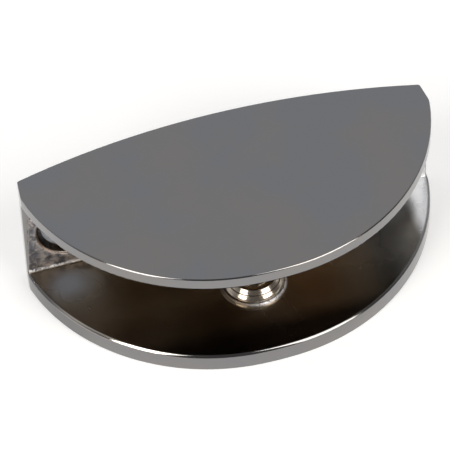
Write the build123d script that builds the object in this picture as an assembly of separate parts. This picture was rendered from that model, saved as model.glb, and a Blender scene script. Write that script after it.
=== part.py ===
"""Half-moon clamp that holds the edge of a glass panel to a wall.

Millimetres. The origin is on the flat underside, below the middle of the line that joins the two back
corners. +X runs along the clamp, +Y towards the wall behind it and +Z up.
"""

import os
from math import sqrt

from build123d import *

# Plan of the casting: a shallow back arc, two short ends that draw in towards the back, and a deep
# front curve of three arcs
LENGTH = 75.4
BACK_BOW = 4.9
END_WIDTH = 4.1
END_DRAW_IN = 0.42
FRONT_REACH = 30.1
NOSE_RADIUS = 60.0
NOSE_WIDTH = 7.0
FRONT_CORNER_RADIUS = 3.0
BACK_CORNER_RADIUS = 0.5

# Heights of the casting
HEIGHT = 24.0
TOP_PLATE = 2.6
BOTTOM_PLATE = 3.5

# Panel slot between the plates, in front of an upright wall
WALL_THICKNESS = 3.4
CREASE_RADIUS = 0.7

# Broken edges of the casting
OUTLINE_ROUND = 0.2
MOUTH_ROUND = 0.4
FOOT_CHAMFER = 0.15

# Two holes for the wall screws, each with a shallow tapered seat in the slot's back wall
SCREW_FROM_END = 8.8
SCREW_HOLE_DIAMETER = 5.5
SEAT_MOUTH_DIAMETER = 12.5
SEAT_FLOOR_DIAMETER = 10.8
SEAT_DEPTH = 1.3
SEAT_RIM = 0.3

# Threaded hole of the clamp screw, in a low tapered boss on the slot's floor
SCREW_AXIS_SETBACK = 18.4
BOSS_FOOT_DIAMETER = 12.2
BOSS_TOP_DIAMETER = 11.4
BOSS_HEIGHT = 0.75
THREAD_DIAMETER = 6.0
RUNNING_CLEARANCE = 0.05
BORE_MOUTH_CHAMFER = 0.3

# Clamp screw: thread, swivel spigot and hexagon socket
SCREW_INSET = 0.2
SPIGOT_DIAMETER = 4.0
SPIGOT_LENGTH = 0.8
SPIGOT_END_ROOM = 0.1
SCREW_END_CHAMFER = 0.45
SOCKET_ACROSS_FLATS = 3.0
SOCKET_DEPTH = 2.6
SOCKET_DRILL_POINT = 0.6

# Pressure pad: a turned disc with a narrow straight foot and two tapered tiers
PAD_GAP = 0.15
PAD_HEIGHT = 1.8
PAD_FOOT_DIAMETER = 10.9
PAD_FOOT_HEIGHT = 0.2
PAD_TIER_DIAMETER = 9.8
PAD_TIER_HEIGHT = 1.0
PAD_TIER_STEP = 0.2
PAD_TOP_DIAMETER = 8.8
PAD_EDGE_CHAMFER = 0.1

SLOT_CEILING = HEIGHT - TOP_PLATE
SLOT_HEIGHT = SLOT_CEILING - BOTTOM_PLATE
SLOT_MIDDLE = BOTTOM_PLATE + SLOT_HEIGHT / 2
FRONT_DEPTH = END_WIDTH + FRONT_REACH
SCREW_SPACING = LENGTH - 2 * SCREW_FROM_END
BOSS_TOP = BOTTOM_PLATE + BOSS_HEIGHT
PAD_FOOT = BOSS_TOP + PAD_GAP
BORE_RADIUS = THREAD_DIAMETER / 2 + RUNNING_CLEARANCE
TOLERANCE = 1e-4


def plan_outline() -> Sketch:
    """Return the casting's plan, the same for both plates and the wall."""
    half = LENGTH / 2
    front_corner = Vector(half, -END_WIDTH)
    nose_centre = Vector(0, NOSE_RADIUS - FRONT_DEPTH)

    # The side arc leaves the nose arc without a kink and ends at the front corner
    half_nose = NOSE_WIDTH / 2
    join = nose_centre + Vector(half_nose, -sqrt(NOSE_RADIUS**2 - half_nose**2))
    inward = (nose_centre - join).normalized()
    chord = front_corner - join
    side_radius = chord.length**2 / (2 * chord.dot(inward))
    side_centre = join + inward * side_radius
    side_middle_way = (front_corner - side_centre).normalized() + (join - side_centre).normalized()
    side_middle = side_centre + side_middle_way.normalized() * side_radius
    nose = Vector(0, -FRONT_DEPTH)

    def mirrored(point: Vector) -> Vector:
        return Vector(-point.X, point.Y)

    right_back = Vector(half - END_DRAW_IN, 0)
    edges = [
        ThreePointArc(mirrored(right_back), Vector(0, BACK_BOW), right_back),
        Line(right_back, front_corner),
        ThreePointArc(front_corner, side_middle, join),
        ThreePointArc(join, nose, mirrored(join)),
        ThreePointArc(mirrored(join), mirrored(side_middle), mirrored(front_corner)),
        Line(mirrored(front_corner), mirrored(right_back)),
    ]
    outline = make_face(Curve() + edges)
    for corner_y, radius in ((0, BACK_CORNER_RADIUS), (front_corner.Y, FRONT_CORNER_RADIUS)):
        corners = [vertex for vertex in outline.vertices() if abs(vertex.Y - corner_y) < TOLERANCE]
        outline = fillet(corners, radius)
    return outline


def slot_cutter() -> Part:
    """Return the space between the plates, open along the whole front curve."""
    beyond = FRONT_DEPTH + LENGTH
    profile = make_face(
        Polyline(
            (-WALL_THICKNESS, BOTTOM_PLATE),
            (-WALL_THICKNESS, SLOT_CEILING),
            (-beyond, SLOT_CEILING),
            (-beyond, BOTTOM_PLATE),
            close=True,
        )
    )
    creases = [vertex for vertex in profile.vertices() if vertex.X > -beyond + TOLERANCE]
    profile = fillet(creases, CREASE_RADIUS)
    return extrude(Plane.YZ * profile, LENGTH, both=True)


def is_mouth_edge(edge: Edge) -> bool:
    """Tell whether an edge belongs to the closed loop where the slot meets the casting's outside."""
    box = edge.bounding_box()
    within = box.min.Z > BOTTOM_PLATE - TOLERANCE and box.max.Z < SLOT_CEILING + TOLERANCE
    crease_line = edge.geom_type == GeomType.LINE and abs((edge % 0.5).X) > 1 - TOLERANCE
    return within and not crease_line


def casting_shell() -> Part:
    """Return the two plates and the wall in one piece, with every outer edge broken."""
    shell = extrude(plan_outline(), HEIGHT) - slot_cutter()
    shell = fillet(shell.edges().filter_by(is_mouth_edge), MOUTH_ROUND)
    by_height = shell.faces().filter_by(Plane.XY).sort_by(Axis.Z)
    shell = fillet(by_height[-1].outer_wire().edges(), OUTLINE_ROUND)
    foot = shell.faces().filter_by(Plane.XY).sort_by(Axis.Z)[0]
    return chamfer(foot.outer_wire().edges(), FOOT_CHAMFER)


def wall_screw_cutter() -> Part:
    """Return one through hole with its tapered seat and broken rim, turned about the hole's axis."""
    hole = SCREW_HOLE_DIAMETER / 2
    mouth = SEAT_MOUTH_DIAMETER / 2
    taper = (mouth - SEAT_FLOOR_DIAMETER / 2) / SEAT_DEPTH
    reach = WALL_THICKNESS + BACK_BOW
    half_section = make_face(
        Polyline(
            (0, -SEAT_RIM),
            (mouth + 2 * SEAT_RIM, -SEAT_RIM),
            (mouth - taper * SEAT_RIM, SEAT_RIM),
            (SEAT_FLOOR_DIAMETER / 2, SEAT_DEPTH),
            (hole, SEAT_DEPTH),
            (hole, reach),
            (0, reach),
            close=True,
        )
    )
    return Pos(0, -WALL_THICKNESS, SLOT_MIDDLE) * revolve(half_section, Axis.Y)


def clamp_body() -> Part:
    """Return the casting with its boss, threaded hole and wall-screw holes."""
    screw_axis = Pos(0, -SCREW_AXIS_SETBACK, 0)
    boss_section = make_face(
        Polyline(
            (0, BOTTOM_PLATE / 2),
            (BOSS_FOOT_DIAMETER / 2, BOTTOM_PLATE / 2),
            (BOSS_FOOT_DIAMETER / 2, BOTTOM_PLATE),
            (BOSS_TOP_DIAMETER / 2, BOSS_TOP),
            (0, BOSS_TOP),
            close=True,
        )
    )
    body = casting_shell() + screw_axis * revolve(Plane.XZ * boss_section, Axis.Z)

    bore_section = make_face(
        Polyline(
            (0, 0),
            (BORE_RADIUS + BORE_MOUTH_CHAMFER, 0),
            (BORE_RADIUS, BORE_MOUTH_CHAMFER),
            (BORE_RADIUS, BOSS_TOP),
            (0, BOSS_TOP),
            close=True,
        )
    )
    body -= screw_axis * revolve(Plane.XZ * bore_section, Axis.Z)
    seat = wall_screw_cutter()
    for side in (-1, 1):
        body -= Pos(side * SCREW_SPACING / 2, 0, 0) * seat
    return body


def clamp_screw() -> Part:
    """Return the headless clamp screw, its thread drawn as the plain major diameter."""
    thread = THREAD_DIAMETER / 2
    spigot = SPIGOT_DIAMETER / 2
    section = make_face(
        Polyline(
            (0, SCREW_INSET),
            (thread - SCREW_END_CHAMFER, SCREW_INSET),
            (thread, SCREW_INSET + SCREW_END_CHAMFER),
            (thread, PAD_FOOT - SCREW_END_CHAMFER),
            (thread - SCREW_END_CHAMFER, PAD_FOOT),
            (spigot, PAD_FOOT),
            (spigot, PAD_FOOT + SPIGOT_LENGTH),
            (0, PAD_FOOT + SPIGOT_LENGTH),
            close=True,
        )
    )
    screw = revolve(Plane.XZ * section, Axis.Z)
    hexagon = RegularPolygon(SOCKET_ACROSS_FLATS / 2, 6, major_radius=False)
    socket = extrude(Pos(0, 0, SCREW_INSET) * hexagon, SOCKET_DEPTH)
    standing = (Align.CENTER, Align.CENTER, Align.MIN)
    drill_point = Cone(SOCKET_ACROSS_FLATS / 2, 0, SOCKET_DRILL_POINT, align=standing)
    screw -= socket + Pos(0, 0, SCREW_INSET + SOCKET_DEPTH) * drill_point
    return Pos(0, -SCREW_AXIS_SETBACK, 0) * screw


def pressure_pad() -> Part:
    """Return the turned pad that swivels on the clamp screw's spigot and bears on the panel."""
    foot = PAD_FOOT_DIAMETER / 2
    tier = PAD_TIER_DIAMETER / 2
    top = PAD_TOP_DIAMETER / 2
    socket = SPIGOT_DIAMETER / 2 + RUNNING_CLEARANCE
    socket_depth = SPIGOT_LENGTH + SPIGOT_END_ROOM
    section = make_face(
        Polyline(
            (socket, 0),
            (foot - PAD_EDGE_CHAMFER, 0),
            (foot, PAD_EDGE_CHAMFER),
            (foot, PAD_FOOT_HEIGHT),
            (tier, PAD_TIER_HEIGHT),
            (tier - PAD_TIER_STEP, PAD_TIER_HEIGHT),
            (top, PAD_HEIGHT - PAD_EDGE_CHAMFER),
            (top - PAD_EDGE_CHAMFER, PAD_HEIGHT),
            (0, PAD_HEIGHT),
            (0, socket_depth),
            (socket, socket_depth),
            close=True,
        )
    )
    return Pos(0, -SCREW_AXIS_SETBACK, PAD_FOOT) * revolve(Plane.XZ * section, Axis.Z)


os.makedirs("parts", exist_ok=True)
pieces = {
    "clamp_body": clamp_body(),
    "clamp_screw": clamp_screw(),
    "pressure_pad": pressure_pad(),
}
for name, piece in pieces.items():
    export_step(piece, f"parts/{name}.step")
    print(name, round(piece.volume, 1), piece.bounding_box())
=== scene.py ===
"""Half-moon clamp for the edge of a glass panel: dressed pieces, studio and camera.

Metres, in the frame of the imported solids: +X along the clamp, +Y towards the wall behind it, +Z up. The
patterns of the finishes are worked out in millimetres.
"""

import logging
import math
from dataclasses import dataclass
from enum import Enum
from typing import Callable

import bmesh
import bpy
from mathutils import Matrix, Vector


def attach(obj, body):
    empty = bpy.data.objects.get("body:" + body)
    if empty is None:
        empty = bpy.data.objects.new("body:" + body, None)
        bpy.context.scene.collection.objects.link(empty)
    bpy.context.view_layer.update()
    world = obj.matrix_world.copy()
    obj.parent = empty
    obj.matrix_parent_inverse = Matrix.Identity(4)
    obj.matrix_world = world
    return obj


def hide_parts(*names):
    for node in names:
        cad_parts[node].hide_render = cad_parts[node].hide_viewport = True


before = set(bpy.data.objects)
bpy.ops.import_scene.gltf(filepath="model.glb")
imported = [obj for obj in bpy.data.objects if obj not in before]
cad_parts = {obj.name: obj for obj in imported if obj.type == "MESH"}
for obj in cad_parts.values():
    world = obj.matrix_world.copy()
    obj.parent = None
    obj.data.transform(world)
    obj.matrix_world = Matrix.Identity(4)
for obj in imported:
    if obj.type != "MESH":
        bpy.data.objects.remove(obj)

MILLIMETRE = 0.001
IMAGE_WIDTH = 450

# A face is level if the Z part of its normal is larger than this
LEVEL = 0.9

log = logging.getLogger("panel_clamp")

Colour = tuple[float, float, float]

# Where a region's share is 0 and where it is 1
Span = tuple[float, float]

# Scale per millimetre, detail and roughness of a noise
Pattern = tuple[float, float, float]


class Body(Enum):
    """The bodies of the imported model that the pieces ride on."""

    CLAMP = "clamp"
    PAD = "pad"
    SCREW = "screw"


class Slot(Enum):
    """The record's material slots."""

    BODY = "body_chrome"
    PAD = "pad_nickel"
    SCREW = "screw_steel"


class Bench:
    """Modelling steps that every new piece uses."""

    @staticmethod
    def clear_selection() -> None:
        """Deselect every object and leave edit mode."""
        if bpy.context.object and bpy.context.object.mode != "OBJECT":
            bpy.ops.object.mode_set(mode="OBJECT")
        bpy.ops.object.select_all(action="DESELECT")

    @staticmethod
    def take(piece: bpy.types.Object) -> None:
        """Make one object the only selected and the active one."""
        Bench.clear_selection()
        piece.select_set(True)
        bpy.context.view_layer.objects.active = piece

    @staticmethod
    def named(name: str) -> bpy.types.Object:
        """Name the object that an operator has just added.

        Args:
            name: The name of the object and of its mesh.

        Returns:
            The active object.
        """
        piece = bpy.context.object
        piece.name = name
        piece.data.name = name
        return piece

    @staticmethod
    def pick_faces(piece: bpy.types.Object, wanted: Callable[[bmesh.types.BMFace], bool]) -> int:
        """Select the faces of the piece in edit mode that a test accepts.

        Args:
            piece: The object in edit mode.
            wanted: The test of one face.

        Returns:
            How many faces are selected.
        """
        bpy.ops.mesh.select_mode(type="FACE")
        bpy.ops.mesh.select_all(action="DESELECT")
        shape = bmesh.from_edit_mesh(piece.data)
        count = 0
        for face in shape.faces:
            chosen = wanted(face)
            face.select_set(chosen)
            count += chosen
        bmesh.update_edit_mesh(piece.data)
        return count

    @staticmethod
    def apply(piece: bpy.types.Object, kind: str, **settings: object) -> None:
        """Add a modifier to the piece and apply it.

        Args:
            piece: The object to change.
            kind: The modifier's type.
            settings: The modifier's values by name.
        """
        Bench.take(piece)
        modifier = piece.modifiers.new(kind.lower(), kind)
        for name, value in settings.items():
            setattr(modifier, name, value)
        bpy.ops.object.modifier_apply(modifier=modifier.name)

    @staticmethod
    def combine(piece: bpy.types.Object, tool: bpy.types.Object, operation: str) -> None:
        """Join, cut or trim the piece with a tool solid, which is used up."""
        Bench.apply(piece, "BOOLEAN", object=tool, operation=operation, solver="EXACT")
        bpy.data.objects.remove(tool)

    @staticmethod
    def weld(piece: bpy.types.Object, reach: float) -> None:
        """Merge corners that coincide and drop faces without area.

        Args:
            piece: The object to clean.
            reach: The largest distance between two corners that become one.
        """
        Bench.take(piece)
        bpy.ops.object.mode_set(mode="EDIT")
        bpy.ops.mesh.select_all(action="SELECT")
        bpy.ops.mesh.remove_doubles(threshold=reach)
        bpy.ops.mesh.dissolve_degenerate(threshold=reach)
        bpy.ops.object.mode_set(mode="OBJECT")

    @staticmethod
    def settle(piece: bpy.types.Object) -> None:
        """Move the object's place, turn and scale into its mesh."""
        Bench.take(piece)
        bpy.ops.object.transform_apply(location=True, rotation=True, scale=True)

    @staticmethod
    def smooth(piece: bpy.types.Object, angle: float) -> None:
        """Shade the piece smooth up to an angle, with large faces kept flat.

        Args:
            piece: The object to shade.
            angle: The largest turn in degrees that is shaded as a round.
        """
        Bench.take(piece)
        bpy.ops.object.shade_smooth_by_angle(angle=math.radians(angle))
        Bench.apply(piece, "WEIGHTED_NORMAL", keep_sharp=True, weight=80)


class Nodes:
    """Adds and joins the nodes of one material or world."""

    def __init__(self, tree: bpy.types.NodeTree) -> None:
        """Start from an empty tree."""
        self.tree = tree
        tree.nodes.clear()

    def add(self, kind: str, values: dict | None = None, **settings: object) -> bpy.types.Node:
        """Add a node.

        Args:
            kind: The node's type, without the words that all types start with.
            values: Constants or sockets for the node's inputs, by name or number.
            settings: The node's own options.

        Returns:
            The node.
        """
        node = self.tree.nodes.new("ShaderNode" + kind)
        for name, value in settings.items():
            setattr(node, name, value)
        for key, value in (values or {}).items():
            if isinstance(value, bpy.types.NodeSocket):
                self.tree.links.new(value, node.inputs[key])
            else:
                node.inputs[key].default_value = value
        return node

    def math(self, operation: str, first: object, second: object = 0.0) -> bpy.types.NodeSocket:
        """Return the result of one sum on two sockets or constants."""
        return self.add("Math", {0: first, 1: second}, operation=operation).outputs[0]

    def product(self, *factors: bpy.types.NodeSocket) -> bpy.types.NodeSocket:
        """Return the product of two or more sockets."""
        result = factors[0]
        for factor in factors[1:]:
            result = self.math("MULTIPLY", result, factor)
        return result

    def step(self, value: object, low: float, high: float) -> bpy.types.NodeSocket:
        """Return a smooth rise from 0 to 1 between two limits, or a fall if they are swapped.

        Args:
            value: The socket that is compared.
            low: Where the result is 0.
            high: Where the result is 1.

        Returns:
            The result's socket.
        """
        if low < high:
            limits = {"From Min": low, "From Max": high, "To Min": 0.0, "To Max": 1.0}
        else:
            limits = {"From Min": high, "From Max": low, "To Min": 1.0, "To Max": 0.0}
        node = self.add("MapRange", {"Value": value, **limits}, interpolation_type="SMOOTHSTEP")
        return node.outputs["Result"]

    def noise(self, place: object, pattern: Pattern) -> bpy.types.NodeSocket:
        """Return a noise between 0 and 1 at a place in millimetres."""
        scale, detail, roughness = pattern
        values = {"Vector": place, "Scale": scale, "Detail": detail, "Roughness": roughness}
        return self.add("TexNoise", values).outputs[0]

    def mix(self, share: object, first: object, second: object) -> bpy.types.NodeSocket:
        """Return a colour between two colours.

        Args:
            share: 0 for the first colour, 1 for the second.
            first: A socket or a colour.
            second: A socket or a colour.

        Returns:
            The colour's socket.
        """
        node = self.add("Mix", data_type="RGBA")
        for key, value in ((0, share), (6, first), (7, second)):
            if isinstance(value, bpy.types.NodeSocket):
                self.tree.links.new(value, node.inputs[key])
            elif key == 0:
                node.inputs[key].default_value = value
            else:
                node.inputs[key].default_value = (*value, 1.0)
        return node.outputs[2]

    def metal(self, colour: object, roughness: object, bump: bpy.types.Node) -> None:
        """End the material with a metal's shader."""
        values = {"Base Color": colour, "Metallic": 1.0, "Roughness": roughness, "Normal": bump.outputs[0]}
        shader = self.add("BsdfPrincipled", values)
        self.add("OutputMaterial", {"Surface": shader.outputs[0]})

    def millimetres(self) -> bpy.types.NodeSocket:
        """Return the place on the piece in millimetres."""
        place = self.add("TexCoord").outputs["Object"]
        scale = (1 / MILLIMETRE,) * 3
        return self.add("Mapping", {"Vector": place, "Scale": scale}).outputs[0]


@dataclass(frozen=True)
class CastChrome:
    """Chrome on a zinc casting: polished outside, thin over the slot's plates and lumpy on its wall, with
    painted shade, painted light and painted reflections in some regions.
    """

    polished: Colour = (0.251, 0.256, 0.27)
    polished_warm: Colour = (0.272, 0.26, 0.253)
    # Painted shade: the sides below the top face are a little darker than the top.
    rim: Colour = (0.234, 0.232, 0.236)
    rim_warm: Colour = (0.242, 0.235, 0.23)
    # Painted shade: the bottom plate's side darker towards its left end.
    rim_left: Colour = (0.157, 0.154, 0.154)
    # Painted sheen: a lighter colour on the bottom plate's upper arris towards the left, for light it
    # catches.
    lip_sheen: Colour = (0.58, 0.54, 0.49)
    polished_roughness: float = 0.08
    plate_dark: Colour = (0.34, 0.285, 0.22)
    plate_light: Colour = (0.36, 0.315, 0.255)
    plate_right: Colour = (0.48, 0.385, 0.28)
    # Painted shade: the slot's plates darker towards the mouth.
    shaded_plate_front: Colour = (0.085, 0.07, 0.06)
    # Painted reflection: the slot's plates light at the right end, mirroring the lit end of the wall.
    plate_end_reflection: Colour = (0.74, 0.75, 0.77)
    # Painted reflection: a grey patch on the slot's plates near the left end, where the floor mirrors the
    # wall.
    wall_reflection: Colour = (0.42, 0.42, 0.44)
    wall_reflection_centre: tuple[float, float] = (-31.2, -8.3)
    plate_shade: Colour = (0.155, 0.145, 0.13)
    plate_roughness: float = 0.28
    wall_dark: Colour = (0.15, 0.157, 0.18)
    wall_light: Colour = (0.60, 0.56, 0.545)
    # Painted light: the wall lighter towards its right end, where light falls in.
    lit_wall_right: Colour = (0.85, 0.86, 0.87)
    right_roughness: float = 0.3
    # Painted shade: the middle of the wall, deep in the slot, darker.
    shaded_wall_middle: Colour = (0.22, 0.175, 0.13)
    wall_roughness: float = 0.34
    # Casting specks in the crease at the wall's foot; their near-white colour is a painted glint towards the
    # wall's ends.
    crease: Colour = (0.92, 0.91, 0.91)
    # Painted reflection and painted shade: the boss ring bluish white on its right side and dark brown on its
    # left.
    boss: Colour = (0.93, 0.95, 1.0)
    boss_grain: float = 0.07
    boss_centre: tuple[float, float] = (0.0, -18.4)
    boss_radius: float = 5.95
    boss_shade: Colour = (0.20, 0.165, 0.13)
    seat_rim: Colour = (0.31, 0.26, 0.23)
    # Painted shade: the side of the screw's seat in the wall near black.
    shaded_seat_side: Colour = (0.045, 0.038, 0.032)
    # The seat's rough cast floor, lightened to a bluish grey as painted light.
    seat_floor: Colour = (0.56, 0.59, 0.64)
    seat_roughness: float = 0.45
    seat_place: tuple[float, float] = (28.9, 12.45)
    seat_radius: float = 6.55
    seat_mouth_radius: float = 6.2
    seat_floor_radius: float = 5.4
    side_centre: tuple[float, float] = (1.34, 2.86)
    side_radius: float = 37.02
    margin_slope: float = 0.0723
    wall_lump: float = 0.1
    plate_lump: float = 0.012
    ripple: float = 0.004

    # Spans in millimetres along the axis that each name ends with
    mouth_depth: Span = (0.25, 0.6)
    margin_depth: Span = (0.0, 0.2)
    slot_low_z: Span = (1.4, 1.6)
    slot_high_z: Span = (22.6, 22.4)
    slot_y: Span = (-0.9, -1.1)
    plates_y: Span = (-4.0, -4.2)
    end_face_y: Span = (-3.2, -3.3)
    end_face_x: Span = (36.2, 35.8)
    wall_y: Span = (-4.3, -4.0)
    wall_low_z: Span = (3.55, 3.75)
    wall_high_z: Span = (21.35, 21.15)
    middle_x: Span = (27.0, 18.0)
    edge_x: Span = (34.0, 36.5)
    right_x: Span = (20.0, 30.0)
    brown_x: Span = (0.0, 14.0)
    brown_end_x: Span = (29.0, 20.0)
    wall_reflection_reach: Span = (5.5, 0.5)
    shade_x: Span = (17.0, 25.0)
    front_y: Span = (-25.5, -30.5)
    end_x: Span = (31.0, 34.0)
    boss_lit_side_x: Span = (-3.5, 0.5)
    boss_z: Span = (9.0, 8.0)
    crease_z: Span = (4.25, 3.85)
    crease_end_x: Span = (26.0, 35.0)
    rim_z: Span = (23.95, 23.85)
    rim_left_x: Span = (-26.5, -37.0)
    rim_left_y: Span = (-3.5, -5.5)
    rim_left_z: Span = (5.5, 5.0)
    lip_depth: Span = (0.5, 0.4)
    lip_x: Span = (-15.0, -22.0)
    lip_y: Span = (-10.0, -18.0)
    lip_low_z: Span = (3.0, 3.2)
    lip_high_z: Span = (3.8, 3.6)

    # Noises, and the spans of their values that change a colour
    cloud: Pattern = (0.07, 3.0, 0.5)
    patch: Pattern = (0.2, 5.0, 0.6)
    lump: Pattern = (0.62, 2.5, 0.55)
    grain: Pattern = (1.9, 3.0, 0.6)
    ripples: Pattern = (0.16, 2.0, 0.5)
    warm_cloud: Span = (0.35, 0.65)
    light_patch: Span = (0.45, 0.8)
    light_lump: Span = (0.36, 0.62)
    dark_grain: Span = (0.7, 0.4)
    speck_grain: Span = (0.4, 0.55)
    boss_light_grain: Span = (0.3, 0.55)
    cloud_roughness: float = 0.05

    def slot_shares(self, nodes: Nodes, place: object) -> dict[str, bpy.types.NodeSocket]:
        """Tell the regions of the slot from the polished outside.

        Args:
            nodes: The material's nodes.
            place: The place in millimetres.

        Returns:
            Sockets that are 1 in a region and 0 outside it, by the region's name.
        """
        x, y, z = nodes.add("SeparateXYZ", {0: place}).outputs
        sideways = nodes.math("ABSOLUTE", x)
        depth = self.distance(nodes, (sideways, y), self.side_centre)
        wall_margin = nodes.math("MULTIPLY_ADD", z, self.margin_slope)
        nodes.tree.links.new(depth, wall_margin.node.inputs[2])
        within_margin = self.from_outline(nodes, wall_margin, self.margin_depth)
        off_end_faces = nodes.math(
            "MAXIMUM", nodes.step(y, *self.end_face_y), nodes.step(sideways, *self.end_face_x)
        )
        inside = nodes.product(
            self.from_outline(nodes, depth, self.mouth_depth),
            nodes.math("MAXIMUM", within_margin, nodes.step(y, *self.plates_y)),
            nodes.step(z, *self.slot_low_z),
            nodes.step(z, *self.slot_high_z),
            nodes.step(y, *self.slot_y),
            off_end_faces,
        )
        wall = nodes.product(
            inside,
            nodes.step(y, *self.wall_y),
            nodes.step(z, *self.wall_low_z),
            nodes.step(z, *self.wall_high_z),
        )
        # Painted shade region: the bottom plate's side towards its left end.
        rim_left = nodes.product(
            nodes.step(x, *self.rim_left_x),
            nodes.step(z, *self.rim_left_z),
            nodes.step(y, *self.rim_left_y),
        )
        # Painted sheen region: the bottom plate's upper arris towards the left.
        lip_sheen = nodes.product(
            self.from_outline(nodes, depth, self.lip_depth),
            nodes.step(y, *self.lip_y),
            nodes.step(x, *self.lip_x),
            nodes.step(z, *self.lip_low_z),
            nodes.step(z, *self.lip_high_z),
        )
        from_seat = self.distance(nodes, (sideways, z), self.seat_place)
        from_boss = self.distance(nodes, (x, y), self.boss_centre)
        from_wall_reflection = self.distance(nodes, (x, y), self.wall_reflection_centre)
        boss = nodes.product(inside, self.within(nodes, from_boss, self.boss_radius))
        return {
            "inside": inside,
            "wall": wall,
            "rim": nodes.step(z, *self.rim_z),
            "rim_left": rim_left,
            "lip_sheen": lip_sheen,
            "middle": nodes.step(sideways, *self.middle_x),
            "edge": nodes.step(sideways, *self.edge_x),
            "right": nodes.step(x, *self.right_x),
            "brown": nodes.product(nodes.step(x, *self.brown_x), nodes.step(x, *self.brown_end_x)),
            "wall_reflection": nodes.step(from_wall_reflection, *self.wall_reflection_reach),
            "shade": nodes.step(x, *self.shade_x),
            "front": nodes.step(y, *self.front_y),
            "boss_lit_side": nodes.step(x, *self.boss_lit_side_x),
            "crease": nodes.product(wall, nodes.step(z, *self.crease_z)),
            "crease_end": nodes.step(sideways, *self.crease_end_x),
            "seat": nodes.product(wall, self.within(nodes, from_seat, self.seat_radius)),
            "shaded_seat_side": self.within(nodes, from_seat, self.seat_mouth_radius),
            "seat_floor": self.within(nodes, from_seat, self.seat_floor_radius),
            "boss": nodes.product(boss, nodes.step(z, *self.boss_z)),
            "end": nodes.step(x, *self.end_x),
        }

    def from_outline(self, nodes: Nodes, depth: object, span: Span) -> bpy.types.NodeSocket:
        """Return a share that depends on how far inside the front curve a place lies.

        Args:
            nodes: The material's nodes.
            depth: The distance from the side arc's centre.
            span: Two distances inwards from the curve.

        Returns:
            The share's socket.
        """
        start, end = span
        return nodes.step(depth, self.side_radius - start, self.side_radius - end)

    @staticmethod
    def within(nodes: Nodes, distance: object, radius: float) -> bpy.types.NodeSocket:
        """Return 1 within a radius and 0 outside it, with a narrow soft border."""
        return nodes.step(distance, radius + 0.1, radius - 0.1)

    @staticmethod
    def distance(nodes: Nodes, place: tuple, centre: tuple[float, float]) -> bpy.types.NodeSocket:
        """Return the distance between two places on a plane.

        Args:
            nodes: The material's nodes.
            place: Two sockets.
            centre: Two numbers.

        Returns:
            The distance's socket.
        """
        steps = [nodes.math("SUBTRACT", socket, number) for socket, number in zip(place, centre)]
        flat = nodes.add("CombineXYZ", dict(enumerate(steps))).outputs[0]
        return nodes.add("VectorMath", {0: flat}, operation="LENGTH").outputs["Value"]

    def material(self) -> bpy.types.Material:
        """Build the finish.

        Returns:
            The material.
        """
        material = bpy.data.materials.new("cast_chrome")
        material.use_nodes = True
        nodes = Nodes(material.node_tree)
        place = nodes.millimetres()
        shares = self.slot_shares(nodes, place)
        inside = shares["inside"]
        rough_wall = nodes.math("SUBTRACT", shares["wall"], shares["seat"])
        rough_wall = nodes.math("MAXIMUM", rough_wall, shares["boss"])

        cloud = nodes.noise(place, self.cloud)
        patch = nodes.noise(place, self.patch)
        lump = nodes.noise(place, self.lump)
        grain = nodes.noise(place, self.grain)
        warm = nodes.step(cloud, *self.warm_cloud)
        outside_colour = nodes.mix(warm, self.polished, self.polished_warm)
        # Painted shade: the sides below the top face get darker colours than the top.
        outside_colour = nodes.mix(shares["rim"], outside_colour, nodes.mix(warm, self.rim, self.rim_warm))
        # Painted shade on the bottom plate's side at its left end.
        outside_colour = nodes.mix(shares["rim_left"], outside_colour, self.rim_left)
        plate_colour = nodes.mix(nodes.step(patch, *self.light_patch), self.plate_dark, self.plate_light)
        plate_colour = nodes.mix(shares["brown"], plate_colour, self.plate_right)
        # Painted reflection of the wall: a grey patch on the slot's plates near the left end.
        plate_colour = nodes.mix(shares["wall_reflection"], plate_colour, self.wall_reflection)
        plate_colour = nodes.mix(shares["shade"], plate_colour, self.plate_shade)
        # Painted shade: the slot's plates darker towards the mouth.
        plate_colour = nodes.mix(shares["front"], plate_colour, self.shaded_plate_front)
        # Painted reflection: the slot's plates light at the right end, mirroring the lit end of the wall.
        plate_colour = nodes.mix(shares["end"], plate_colour, self.plate_end_reflection)
        edge_shade = nodes.product(shares["edge"], nodes.step(grain, *self.dark_grain))
        wall_colour = nodes.mix(nodes.step(lump, *self.light_lump), self.wall_dark, self.wall_light)
        wall_colour = nodes.mix(edge_shade, wall_colour, self.wall_dark)
        # Painted light: the wall lighter towards its right end, where light falls in.
        wall_colour = nodes.mix(shares["right"], wall_colour, self.lit_wall_right)
        # Painted shade: the middle of the wall, deep in the slot, darker.
        wall_colour = nodes.mix(shares["middle"], wall_colour, self.shaded_wall_middle)
        # Casting specks in the crease, with near-white painted glints towards the wall's ends.
        speck_glint = nodes.product(shares["crease"], nodes.step(grain, *self.speck_grain), shares["crease_end"])
        wall_colour = nodes.mix(speck_glint, wall_colour, self.crease)
        # Painted shade: the side of the screw's seat near black.
        seat_colour = nodes.mix(shares["shaded_seat_side"], self.seat_rim, self.shaded_seat_side)
        # The seat's rough cast floor, lightened as painted light.
        seat_colour = nodes.mix(shares["seat_floor"], seat_colour, self.seat_floor)
        wall_colour = nodes.mix(shares["seat"], wall_colour, seat_colour)
        slot_colour = nodes.mix(shares["wall"], plate_colour, wall_colour)
        # Boss ring: painted reflection on its right side, painted shade on its left, mixed with a grain.
        boss_colour = nodes.mix(nodes.step(grain, *self.boss_light_grain), self.boss_shade, self.boss)
        boss_colour = nodes.mix(shares["boss_lit_side"], self.boss_shade, boss_colour)
        slot_colour = nodes.mix(shares["boss"], slot_colour, boss_colour)
        colour = nodes.mix(inside, outside_colour, slot_colour)
        # Painted sheen on the bottom plate's upper arris towards the left.
        colour = nodes.mix(shares["lip_sheen"], colour, self.lip_sheen)

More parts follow.
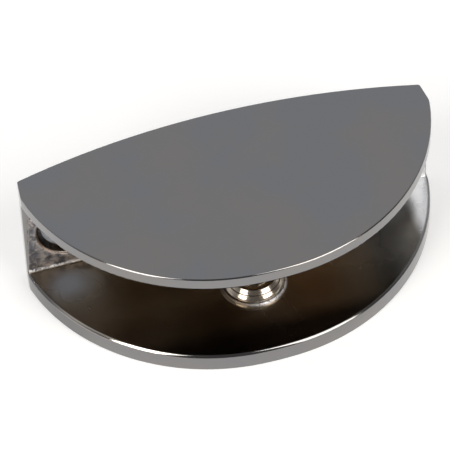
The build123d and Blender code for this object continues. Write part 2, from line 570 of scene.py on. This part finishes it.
        roughness = nodes.math("MULTIPLY_ADD", cloud, self.cloud_roughness)
        roughness.node.inputs[2].default_value = self.polished_roughness
        seat_floor = nodes.product(shares["seat"], shares["seat_floor"])
        for share, pattern, gain in (
            (inside, cloud, self.plate_roughness),
            (rough_wall, lump, self.wall_roughness),
            (seat_floor, cloud, 2 * self.seat_roughness),
            (nodes.product(rough_wall, shares["right"]), cloud, 2 * self.right_roughness),
        ):
            added = nodes.math("MULTIPLY", share, nodes.math("MULTIPLY", pattern, gain))
            roughness = nodes.math("ADD", roughness, added)

        lump_size = nodes.math("MULTIPLY_ADD", rough_wall, self.wall_lump)
        lump_size.node.inputs[2].default_value = self.plate_lump
        lump_height = nodes.product(lump, inside, lump_size)
        ripple = nodes.math("MULTIPLY", nodes.noise(place, self.ripples), self.ripple)
        height = nodes.math("ADD", lump_height, ripple)
        boss_grain = nodes.product(shares["boss"], nodes.math("MULTIPLY", grain, self.boss_grain))
        height = nodes.math("ADD", height, boss_grain)
        bump = nodes.add("Bump", {"Height": height, "Distance": MILLIMETRE, "Strength": 1.0})

        nodes.metal(colour, roughness, bump)
        return material


@dataclass(frozen=True)
class TurnedMetal:
    """Metal turned on a lathe, with fine rings round the screw's axis."""

    name: str
    colour: Colour
    shade: Colour
    roughness: float
    axis_y: float
    ring_pitch: float = 0.16
    ring_height: float = 0.006
    ring_strength: float = 0.6
    cloud: Pattern = (0.6, 4.0, 0.5)
    shade_cloud: Span = (0.35, 0.7)
    cloud_roughness: float = 0.08

    def material(self) -> bpy.types.Material:
        """Build the finish.

        Returns:
            The material.
        """
        material = bpy.data.materials.new(self.name)
        material.use_nodes = True
        nodes = Nodes(material.node_tree)
        place = nodes.millimetres()
        centred = nodes.add("Mapping", {"Vector": place, "Location": (0.0, -self.axis_y, 0.0)}).outputs[0]
        axes = nodes.add("SeparateXYZ", {0: centred}).outputs
        flat = nodes.add("CombineXYZ", {0: axes[0], 1: axes[1]}).outputs[0]
        radius = nodes.add("VectorMath", {0: flat}, operation="LENGTH").outputs["Value"]
        along = nodes.math("ADD", radius, axes[2])
        turns = nodes.math("SINE", nodes.math("MULTIPLY", along, 2 * math.pi / self.ring_pitch))
        cloud = nodes.noise(place, self.cloud)
        colour = nodes.mix(nodes.step(cloud, *self.shade_cloud), self.colour, self.shade)
        roughness = nodes.math("MULTIPLY_ADD", cloud, self.cloud_roughness)
        roughness.node.inputs[2].default_value = self.roughness
        height = nodes.math("MULTIPLY", turns, self.ring_height)
        bump = nodes.add("Bump", {"Height": height, "Distance": MILLIMETRE, "Strength": self.ring_strength})
        nodes.metal(colour, roughness, bump)
        return material


@dataclass
class Casting:
    """The one-piece casting: two plates, the wall behind the slot and the screw's boss."""

    node: str = "clamp_body"
    weld_reach: float = 0.002 * MILLIMETRE
    top_z: float = 24.0 * MILLIMETRE
    floor_z: float = 3.5 * MILLIMETRE
    ceiling_z: float = 21.4 * MILLIMETRE
    outline_round: float = 0.2 * MILLIMETRE
    mouth_round: float = 0.4 * MILLIMETRE
    end_width: float = 4.1 * MILLIMETRE
    corner_room: float = 2.0 * MILLIMETRE
    nose_width: float = 7.0 * MILLIMETRE
    nose_radius: float = 60.0 * MILLIMETRE
    nose_centre_y: float = 25.8 * MILLIMETRE
    side_radius: float = 37.02 * MILLIMETRE
    side_centre_x: float = 1.34 * MILLIMETRE
    side_centre_y: float = 2.86 * MILLIMETRE
    arris_zone: float = 1.0 * MILLIMETRE
    arris_spread: float = 0.45
    round_slack: float = 0.02
    smooth_angle: float = 50.0
    wall_y: float = -3.4 * MILLIMETRE
    wall_half_length: float = 37.2 * MILLIMETRE
    crease: float = 0.7 * MILLIMETRE
    slack: float = 0.02 * MILLIMETRE
    level_slack: float = 0.001 * MILLIMETRE
    seat_x: float = 28.9 * MILLIMETRE
    seat_z: float = 12.45 * MILLIMETRE
    seat_radius: float = 6.55 * MILLIMETRE
    field: float = 0.5 * MILLIMETRE
    lump_size: float = 1.3 * MILLIMETRE
    lump_height: float = 0.26 * MILLIMETRE
    lump_border: float = 0.8 * MILLIMETRE
    speck_size: float = 0.7 * MILLIMETRE
    speck_height: float = 0.3 * MILLIMETRE
    finish: CastChrome = CastChrome()

    def build(self) -> bpy.types.Object:
        """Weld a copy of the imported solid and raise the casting's lumps on the slot's wall.

        Returns:
            The casting's object.
        """
        Bench.clear_selection()
        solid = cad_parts[self.node]
        piece = bpy.data.objects.new("polished_casting", solid.data.copy())
        bpy.context.scene.collection.objects.link(piece)
        piece.data.name = piece.name
        Bench.take(piece)
        bpy.ops.mesh.customdata_custom_splitnormals_clear()
        Bench.weld(piece, self.weld_reach)
        bpy.ops.object.mode_set(mode="EDIT")
        self.cut_fields(piece)
        Bench.weld(piece, self.weld_reach)
        self.raise_lumps(piece, "wall_lumps", self.lump_share, self.lump_size, self.lump_height)
        self.raise_lumps(piece, "crease_specks", self.speck_share, self.speck_size, self.speck_height)
        Bench.smooth(piece, self.smooth_angle)
        self.true_normals(piece)
        return piece

    def near_wall(self, spot: Vector) -> bool:
        """Tell whether a place is on the slot's wall or in the creases at its edges."""
        front = self.wall_y - self.crease - self.slack
        return front < spot.y < self.wall_y + self.slack and self.floor_z < spot.z < self.ceiling_z

    def on_wall(self, face: bmesh.types.BMFace) -> bool:
        """Tell whether a face is part of the slot's wall or of the crease at its foot."""
        spot = face.calc_center_median()
        if not self.near_wall(spot) or abs(face.normal.x) > 0.05:
            return False
        return face.normal.y < -0.99 or spot.z < self.floor_z + self.crease

    def cut_fields(self, piece: bpy.types.Object) -> None:
        """Cut the slot's wall into small fields.

        Args:
            piece: The casting in edit mode.
        """
        columns = round(2 * self.wall_half_length / self.field)
        rows = round((self.ceiling_z - self.floor_z) / self.field)
        along = [step * self.field - self.wall_half_length for step in range(columns)]
        heights = [self.floor_z + step * self.field for step in range(1, rows)]
        cuts = [((x, 0.0, 0.0), (1.0, 0.0, 0.0)) for x in along]
        cuts += [((0.0, 0.0, z), (0.0, 0.0, 1.0)) for z in heights]
        for spot, way in cuts:
            Bench.pick_faces(piece, self.on_wall)
            bpy.ops.mesh.bisect(plane_co=spot, plane_no=way)

    def lump_share(self, spot: Vector) -> float:
        """Return how far the wall's lumps rise at a place: 1 on the open wall, 0 at its borders."""
        if not self.near_wall(spot):
            return 0.0
        from_seat = math.hypot(abs(spot.x) - self.seat_x, spot.z - self.seat_z) - self.seat_radius
        from_floor = spot.z - self.floor_z - self.crease / 2
        from_ceiling = self.ceiling_z - self.crease - spot.z
        from_end = self.wall_half_length - abs(spot.x)
        room = min(from_seat, from_floor, from_ceiling, from_end)
        return min(max(room / self.lump_border, 0.0), 1.0)

    def speck_share(self, spot: Vector) -> float:
        """Return how far the crease's specks rise at a place: 1 in the crease, 0 away from it."""
        if not self.near_wall(spot):
            return 0.0
        above = spot.z - self.floor_z
        from_end = (self.wall_half_length - abs(spot.x)) / MILLIMETRE
        if not 0.01 * MILLIMETRE < above < 2 * self.crease or from_end < 0.0:
            return 0.0
        rise = 1.0 - abs(above - 0.5 * self.crease) / (1.5 * self.crease)
        return min(max(rise, 0.0), 1.0) * min(from_end, 1.0)

    def arris(self, spot: Vector) -> tuple[Vector, float] | None:
        """Find a place on the rounded arrises along the front curve.

        Args:
            spot: A place on the casting.

        Returns:
            The outward direction and how steeply the round's normal rises there, or None off the arrises.
        """
        if spot.y > -self.end_width - self.corner_room:
            return None
        if abs(spot.x) < self.nose_width / 2:
            outward = Vector((spot.x, spot.y - self.nose_centre_y, 0.0))
            inside = self.nose_radius - outward.length
        else:
            centre_x = math.copysign(self.side_centre_x, spot.x)
            outward = Vector((spot.x - centre_x, spot.y - self.side_centre_y, 0.0))
            inside = self.side_radius - outward.length
        if inside > self.arris_zone:
            return None
        arrises = (
            (self.top_z, self.outline_round, 1.0),
            (self.ceiling_z, self.mouth_round, -1.0),
            (self.floor_z, self.mouth_round, 1.0),
        )
        for face_z, radius, way in arrises:
            depth = (face_z - spot.z) * way
            if -self.round_slack < depth / radius < 1.0 + self.round_slack:
                rise = min(max(1.0 - depth / radius, 0.0), 1.0)
                return outward.normalized(), way * math.asin(rise)
        return None

    def true_normals(self, piece: bpy.types.Object) -> None:
        """Give level faces, rims and the polished arrises of the front curve their own normals.

        Args:
            piece: The casting with smooth shading.
        """
        mesh = piece.data
        normals = [corner.vector.copy() for corner in mesh.corner_normals]
        arrises = [self.arris(vertex.co) for vertex in mesh.vertices]
        for face in mesh.polygons:
            heights = [mesh.vertices[index].co.z for index in face.vertices]
            level = max(heights) - min(heights) < self.level_slack
            faces_up = min(abs(heights[0] - self.floor_z), abs(heights[0] - self.top_z)) < self.slack
            level_normal = Vector((0.0, 0.0, 1.0 if faces_up else math.copysign(1.0, face.normal.z)))
            for index in face.loop_indices:
                place = arrises[mesh.loops[index].vertex_index]
                if level:
                    normals[index] = level_normal
                elif place is not None:
                    outward, rise = place
                    if abs(face.normal.z) > 0.05:
                        middle = math.copysign(math.pi / 4, face.normal.z)
                        rise = middle + self.arris_spread * (rise - middle)
                    normals[index] = outward * math.cos(rise)
                    normals[index].z = math.sin(rise)
        mesh.normals_split_custom_set(normals)

    @staticmethod
    def raise_lumps(
        piece: bpy.types.Object,
        name: str,
        share: Callable[[Vector], float],
        size: float,
        height: float,
    ) -> None:
        """Push a region of the casting out and in by a cloudy pattern.

        Args:
            piece: The casting.
            name: A name for the region.
            share: How much of the height a place takes.
            size: The size of the pattern.
            height: How far apart the highest and the lowest places can lie.
        """
        region = piece.vertex_groups.new(name=name)
        for vertex in piece.data.vertices:
            weight = share(vertex.co)
            if weight > 0.0:
                region.add([vertex.index], weight, "REPLACE")
        pattern = bpy.data.textures.new(name, "CLOUDS")
        pattern.noise_scale = size
        pattern.noise_depth = 2
        Bench.apply(
            piece,
            "DISPLACE",
            texture=pattern,
            texture_coords="LOCAL",
            vertex_group=name,
            strength=height,
            mid_level=0.5,
        )
        piece.vertex_groups.clear()
        bpy.data.textures.remove(pattern)

    def dress(self, piece: bpy.types.Object) -> None:
        """Give the casting its finish and its place in the model.

        Args:
            piece: The casting's object.
        """
        piece.data.materials.clear()
        piece.data.materials.append(self.finish.material())
        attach(piece, Body.CLAMP.value)
        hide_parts(self.node)


@dataclass
class PressurePad:
    """The turned pad that bears on the panel, with its foot, two tapered tiers and spigot hole."""

    axis_y: float = -18.4 * MILLIMETRE
    foot_z: float = 4.4 * MILLIMETRE
    foot_radius: float = 5.45 * MILLIMETRE
    foot_height: float = 0.2 * MILLIMETRE
    tier_radius: float = 4.9 * MILLIMETRE
    tier_height: float = 1.0 * MILLIMETRE
    tier_step: float = 0.2 * MILLIMETRE
    top_radius: float = 4.2 * MILLIMETRE
    height: float = 1.8 * MILLIMETRE
    hole_radius: float = 2.05 * MILLIMETRE
    hole_depth: float = 0.9 * MILLIMETRE
    groove_radius: float = 3.4 * MILLIMETRE
    groove_width: float = 0.25 * MILLIMETRE
    groove_depth: float = 0.06 * MILLIMETRE
    edge_round: float = 0.05 * MILLIMETRE
    weld_reach: float = 0.001 * MILLIMETRE
    bevel_angle: float = 25.0
    smooth_angle: float = 40.0
    sides: int = 128

    def build(self) -> bpy.types.Object:
        """Model the pad from a disc.

        Returns:
            The pad's object.
        """
        Bench.clear_selection()
        middle_z = self.foot_z + self.foot_height / 2
        bpy.ops.mesh.primitive_cylinder_add(
            vertices=self.sides,
            radius=self.foot_radius,
            depth=self.foot_height,
            location=(0.0, self.axis_y, middle_z),
        )
        piece = Bench.named("turned_pad")
        Bench.settle(piece)
        bpy.ops.object.mode_set(mode="EDIT")

        Bench.pick_faces(piece, lambda face: face.normal.z > LEVEL)
        self.raise_tier(self.tier_height - self.foot_height, self.tier_radius / self.foot_radius)
        bpy.ops.mesh.inset(thickness=self.tier_step)
        ledge_radius = self.tier_radius - self.tier_step
        self.raise_tier(self.height - self.tier_height, self.top_radius / ledge_radius)
        bpy.ops.mesh.inset(thickness=self.top_radius - self.groove_radius)
        bpy.ops.mesh.inset(thickness=self.groove_width)
        Bench.pick_faces(piece, self.in_groove)
        self.raise_face(-self.groove_depth)

        Bench.pick_faces(piece, lambda face: face.normal.z < -LEVEL)
        bpy.ops.mesh.inset(thickness=self.foot_radius - self.hole_radius)
        self.raise_face(self.hole_depth)
        bpy.ops.object.mode_set(mode="OBJECT")
        Bench.apply(
            piece,
            "BEVEL",
            width=self.edge_round,
            segments=3,
            limit_method="ANGLE",
            angle_limit=math.radians(self.bevel_angle),
        )
        Bench.weld(piece, self.weld_reach)
        Bench.smooth(piece, self.smooth_angle)
        return piece

    def in_groove(self, face: bmesh.types.BMFace) -> bool:
        """Tell whether a face of the pad's top lies in its turned groove."""
        spot = face.calc_center_median()
        radius = math.hypot(spot.x, spot.y - self.axis_y)
        on_top = face.normal.z > LEVEL and spot.z > self.foot_z + self.height - self.groove_depth
        return on_top and self.groove_radius - self.groove_width < radius < self.groove_radius

    @staticmethod
    def raise_face(rise: float) -> None:
        """Extrude the selected face along Z."""
        bpy.ops.mesh.extrude_region_move(TRANSFORM_OT_translate={"value": (0.0, 0.0, rise)})

    def raise_tier(self, rise: float, shrink: float) -> None:
        """Extrude the selected face along Z and draw it in.

        Args:
            rise: The tier's height.
            shrink: The tier's upper radius over its lower one.
        """
        self.raise_face(rise)
        bpy.ops.transform.resize(value=(shrink, shrink, 1.0), center_override=(0.0, self.axis_y, 0.0))

    def dress(self, piece: bpy.types.Object) -> None:
        """Give the pad its warm nickel finish and its place in the model.

        Args:
            piece: The pad's object.
        """
        finish = TurnedMetal(
            name="turned_nickel",
            colour=(0.55, 0.49, 0.42),
            shade=(0.49, 0.42, 0.335),
            roughness=0.12,
            axis_y=self.axis_y / MILLIMETRE,
        )
        piece.data.materials.append(finish.material())
        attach(piece, Body.PAD.value)
        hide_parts("pressure_pad")


@dataclass
class ClampScrew:
    """The headless screw below the pad, with its thread, spigot and hexagon socket."""

    axis_y: float = -18.4 * MILLIMETRE
    low_z: float = 0.2 * MILLIMETRE
    high_z: float = 4.4 * MILLIMETRE
    crest_radius: float = 3.0 * MILLIMETRE
    thread_depth: float = 0.46 * MILLIMETRE
    pitch: float = 0.75 * MILLIMETRE
    end_chamfer: float = 0.45 * MILLIMETRE
    spigot_radius: float = 2.0 * MILLIMETRE
    spigot_length: float = 0.8 * MILLIMETRE
    spigot_overlap: float = 0.4 * MILLIMETRE
    socket_across: float = 3.0 * MILLIMETRE
    socket_depth: float = 2.6 * MILLIMETRE
    drill_radius: float = 1.47 * MILLIMETRE
    drill_depth: float = 0.6 * MILLIMETRE
    drill_overlap: float = 0.03 * MILLIMETRE
    weld_reach: float = 0.001 * MILLIMETRE
    chamfer_angle: float = 60.0
    smooth_angle: float = 30.0
    steps_per_turn: int = 64
    envelope_sides: int = 96
    envelope_room: float = 1.004
    spigot_sides: int = 64
    drill_sides: int = 48

    def build(self) -> bpy.types.Object:
        """Model the screw from one thread flank.

        Returns:
            The screw's object.
        """
        piece = self.thread()
        Bench.combine(piece, self.chamfered_envelope(), "INTERSECT")
        Bench.combine(piece, self.spigot(), "UNION")
        Bench.combine(piece, self.socket(), "DIFFERENCE")
        Bench.combine(piece, self.drill_point(), "DIFFERENCE")
        Bench.weld(piece, self.weld_reach)
        Bench.smooth(piece, self.smooth_angle)
        return piece

    def thread(self) -> bpy.types.Object:
        """Wind a pointed flank round the axis and cut the coil flat at both ends.

        Returns:
            The closed threaded bar.
        """
        Bench.clear_selection()
        start_z = self.low_z - self.pitch
        turns = math.ceil((self.high_z - self.low_z) / self.pitch) + 2
        bpy.ops.mesh.primitive_plane_add(
            size=1.0, location=(0.0, self.axis_y, start_z), rotation=(math.pi / 2, 0.0, 0.0)
        )
        piece = Bench.named("clamp_screw_thread")
        bpy.ops.object.transform_apply(location=False, rotation=True, scale=False)
        bpy.ops.object.mode_set(mode="EDIT")
        bpy.ops.mesh.select_all(action="SELECT")
        here = (0.0, self.axis_y, start_z)
        bpy.ops.transform.rotate(value=math.pi / 4, orient_axis="Y", center_override=here)
        across = math.sqrt(2.0)
        bpy.ops.transform.resize(
            value=(2 * self.thread_depth / across, 1.0, self.pitch / across), center_override=here
        )
        root_radius = self.crest_radius - self.thread_depth
        bpy.ops.transform.translate(value=(root_radius, 0.0, 0.0))
        bpy.ops.mesh.select_mode(type="VERT")
        bpy.ops.mesh.select_all(action="DESELECT")
        flank = bmesh.from_edit_mesh(piece.data)
        inner = min(flank.verts, key=lambda corner: corner.co.x)
        inner.select_set(True)
        bmesh.update_edit_mesh(piece.data)
        bpy.ops.mesh.delete(type="VERT")
        bpy.ops.object.mode_set(mode="OBJECT")
        Bench.apply(
            piece,
            "SCREW",
            axis="Z",
            screw_offset=self.pitch,
            iterations=turns,
            steps=self.steps_per_turn,
            render_steps=self.steps_per_turn,
            use_merge_vertices=True,
            merge_threshold=self.pitch / 1000,
        )
        Bench.settle(piece)
        bpy.ops.object.mode_set(mode="EDIT")
        bpy.ops.mesh.select_all(action="SELECT")
        bpy.ops.mesh.remove_doubles(threshold=self.pitch / 1000)
        for height, ends in ((self.low_z, {"clear_inner": True}), (self.high_z, {"clear_outer": True})):
            bpy.ops.mesh.select_all(action="SELECT")
            bpy.ops.mesh.bisect(
                plane_co=(0.0, self.axis_y, height), plane_no=(0.0, 0.0, 1.0), use_fill=True, **ends
            )
        bpy.ops.mesh.select_all(action="SELECT")
        bpy.ops.mesh.normals_make_consistent(inside=False)
        bpy.ops.object.mode_set(mode="OBJECT")
        return piece

    def bar(self, name: str, sides: int, radius: float, low_z: float, high_z: float) -> bpy.types.Object:
        """Add an upright bar on the screw's axis.

        Args:
            name: The bar's name.
            sides: How many sides it has.
            radius: Its largest radius.
            low_z: Where it starts.
            high_z: Where it ends.

        Returns:
            The bar's object.
        """
        Bench.clear_selection()
        bpy.ops.mesh.primitive_cylinder_add(
            vertices=sides,
            radius=radius,
            depth=high_z - low_z,
            location=(0.0, self.axis_y, (high_z + low_z) / 2),
        )
        tool = Bench.named(name)
        Bench.settle(tool)
        return tool

    def chamfered_envelope(self) -> bpy.types.Object:
        """Return a bar with broken ends that just takes in the thread's crests."""
        radius = self.crest_radius * self.envelope_room
        tool = self.bar("thread_envelope", self.envelope_sides, radius, self.low_z, self.high_z)
        Bench.apply(
            tool,
            "BEVEL",
            width=self.end_chamfer,
            limit_method="ANGLE",
            angle_limit=math.radians(self.chamfer_angle),
        )
        return tool

    def spigot(self) -> bpy.types.Object:
        """Return the plain pin that the pad swivels on."""
        low_z = self.high_z - self.spigot_overlap
        high_z = self.high_z + self.spigot_length
        return self.bar("screw_spigot", self.spigot_sides, self.spigot_radius, low_z, high_z)

    def socket(self) -> bpy.types.Object:
        """Return the hexagon that is cut into the screw's lower end."""
        radius = self.socket_across / math.sqrt(3.0)
        low_z = self.low_z - self.socket_depth
        high_z = self.low_z + self.socket_depth
        return self.bar("hexagon_socket", 6, radius, low_z, high_z)

    def drill_point(self) -> bpy.types.Object:
        """Return the cone that the drill leaves at the socket's end."""
        Bench.clear_selection()
        middle_z = self.low_z + self.socket_depth + (self.drill_depth - self.drill_overlap) / 2
        bpy.ops.mesh.primitive_cone_add(
            vertices=self.drill_sides,
            radius1=self.drill_radius,
            radius2=0.0,
            depth=self.drill_depth + self.drill_overlap,
            location=(0.0, self.axis_y, middle_z),
        )
        tool = Bench.named("drill_point")
        Bench.settle(tool)
        return tool

    def dress(self, piece: bpy.types.Object) -> None:
        """Give the screw its steel finish and its place in the model.

        Args:
            piece: The screw's object.
        """
        finish = TurnedMetal(
            name="zinc_plated_steel",
            colour=(0.44, 0.44, 0.45),
            shade=(0.34, 0.34, 0.35),
            roughness=0.28,
            axis_y=self.axis_y / MILLIMETRE,
        )
        piece.data.materials.append(finish.material())
        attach(piece, Body.SCREW.value)
        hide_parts("clamp_screw")


@dataclass
class Softbox:
    """One rectangular studio lamp that points at the clamp."""

    name: str
    azimuth: float
    width: float
    power: float
    tint: Colour
    elevation: float = 36.0
    distance: float = 0.8
    height: float = 0.70

    def hang(self, target: Vector) -> bpy.types.Object:
        """Add the lamp.

        Args:
            target: The point that it shines on.

        Returns:
            The lamp's object.
        """
        data = bpy.data.lights.new(self.name, "AREA")
        data.shape = "RECTANGLE"
        data.size = self.width
        data.size_y = self.height
        data.energy = self.power
        data.color = self.tint
        lamp = bpy.data.objects.new(self.name, data)
        bpy.context.scene.collection.objects.link(lamp)
        turn = math.radians(self.azimuth)
        rise = math.radians(self.elevation)
        way = Vector((math.sin(turn) * math.cos(rise), -math.cos(turn) * math.cos(rise), math.sin(rise)))
        lamp.location = target + way * self.distance
        lamp.rotation_euler = (-way).to_track_quat("-Z", "Y").to_euler()
        return lamp


@dataclass
class Studio:
    """Pale floor, soft lamps and a plain room."""

    floor_radius: float = 2.5
    floor_gap: float = 0.02 * MILLIMETRE
    floor_colour: Colour = (0.85, 0.85, 0.85)
    floor_lift: float = 0.27
    room_back: Colour = (0.61, 0.615, 0.627)
    room_front: Colour = (0.13, 0.125, 0.12)
    room_turn: Span = (-0.35, 0.35)
    floor_grain: Pattern = (0.02, 2.0, 0.5)
    floor_shade: float = 0.985
    floor_sides: int = 64
    target: tuple[float, float, float] = (0.0, -0.015, 0.01)

    def floor(self) -> bpy.types.Object:
        """Lay the pale floor under the clamp.

        Returns:
            The floor's object.
        """
        Bench.clear_selection()
        bpy.ops.mesh.primitive_circle_add(
            vertices=self.floor_sides,
            radius=self.floor_radius,
            fill_type="NGON",
            location=(0.0, 0.0, -self.floor_gap),
        )
        floor = Bench.named("studio_floor")
        Bench.settle(floor)
        material = bpy.data.materials.new("pale_floor")
        material.use_nodes = True
        nodes = Nodes(material.node_tree)
        place = nodes.millimetres()
        grain = nodes.noise(place, self.floor_grain)
        darker = tuple(self.floor_shade * value for value in self.floor_colour)
        colour = nodes.mix(grain, self.floor_colour, darker)
        paint = nodes.add("BsdfDiffuse", {"Color": colour})
        rays = nodes.add("LightPath").outputs
        seen = nodes.math("MAXIMUM", rays["Is Camera Ray"], rays["Is Glossy Ray"])
        seen = nodes.math("MAXIMUM", seen, rays["Is Transmission Ray"])
        lift = nodes.add("Emission", {"Strength": nodes.math("MULTIPLY", seen, self.floor_lift)})
        lit = nodes.add("AddShader", {0: paint.outputs[0], 1: lift.outputs[0]})
        below = nodes.add("NewGeometry").outputs["Backfacing"]
        clear = nodes.add("BsdfTransparent")
        shader = nodes.add("MixShader", {0: below, 1: lit.outputs[0], 2: clear.outputs[0]})
        nodes.add("OutputMaterial", {"Surface": shader.outputs[0]})
        floor.data.materials.append(material)
        return floor

    def room(self) -> None:
        """Set the world: mid grey behind the clamp and darker in front of it."""
        world = bpy.data.worlds.new("plain_room")
        world.use_nodes = True
        bpy.context.scene.world = world
        nodes = Nodes(world.node_tree)
        way = nodes.add("TexCoord").outputs["Generated"]
        depth = nodes.add("SeparateXYZ", {0: way}).outputs[1]
        colour = nodes.mix(nodes.step(depth, *self.room_turn), self.room_front, self.room_back)
        light = nodes.add("Background", {"Color": colour, "Strength": 1.0})
        nodes.add("OutputWorld", {"Surface": light.outputs[0]})

    def build(self) -> None:
        """Set up the floor, the lamps and the room."""
        self.floor()
        self.room()
        for lamp in (
            Softbox("left_softbox", azimuth=-55.0, width=0.34, power=4.2, tint=(1.0, 0.975, 0.94)),
            Softbox("right_softbox", azimuth=33.0, width=0.44, power=4.4, tint=(1.0, 0.97, 0.93)),
        ):
            lamp.hang(Vector(self.target))


@dataclass
class PhotoCamera:
    """The camera that was fitted to the edges of the two plates."""

    unit: float = 0.07448
    azimuth: float = -14.951
    elevation: float = 48.147
    roll: float = -2.589
    perspective: float = 0.1058
    shift_right: float = -0.00222
    shift_up: float = 0.00564
    scale: float = 409.9
    sensor: float = 36.0

    def place(self) -> bpy.types.Object:
        """Set up the camera.

        Returns:
            The camera's object.
        """
        turn = math.radians(self.azimuth)
        rise = math.radians(self.elevation)
        lean = math.radians(self.roll)
        forward = Vector((-math.sin(turn) * math.cos(rise), math.cos(turn) * math.cos(rise), -math.sin(rise)))
        level = Vector((math.cos(turn), math.sin(turn), 0.0))
        upright = level.cross(forward)
        right = math.cos(lean) * level + math.sin(lean) * upright
        up = -math.sin(lean) * level + math.cos(lean) * upright
        distance = 1 / self.perspective
        focal_pixels = self.scale / self.perspective

        data = bpy.data.cameras.new("photo_camera")
        data.sensor_width = self.sensor
        data.lens = focal_pixels * self.sensor / IMAGE_WIDTH
        data.clip_start = 0.01
        data.clip_end = 20.0
        camera = bpy.data.objects.new("photo_camera", data)
        bpy.context.scene.collection.objects.link(camera)
        spot = -self.shift_right * right - self.shift_up * up - distance * forward
        turned = Matrix((right, up, -forward)).transposed().to_4x4()
        camera.matrix_world = Matrix.Translation(spot * self.unit) @ turned
        bpy.context.scene.camera = camera
        return camera


def main() -> None:
    """Build and dress every piece, then the studio and the camera."""
    logging.basicConfig(level=logging.INFO, format="%(name)s %(message)s")
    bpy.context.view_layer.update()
    for maker in (Casting(), PressurePad(), ClampScrew()):
        piece = maker.build()
        maker.dress(piece)
        log.info("%s built: %d faces", piece.name, len(piece.data.polygons))
    Studio().build()
    PhotoCamera().place()
    bpy.context.scene.view_settings.view_transform = "Standard"
    Bench.clear_selection()


if __name__ == "__main__":
    main()
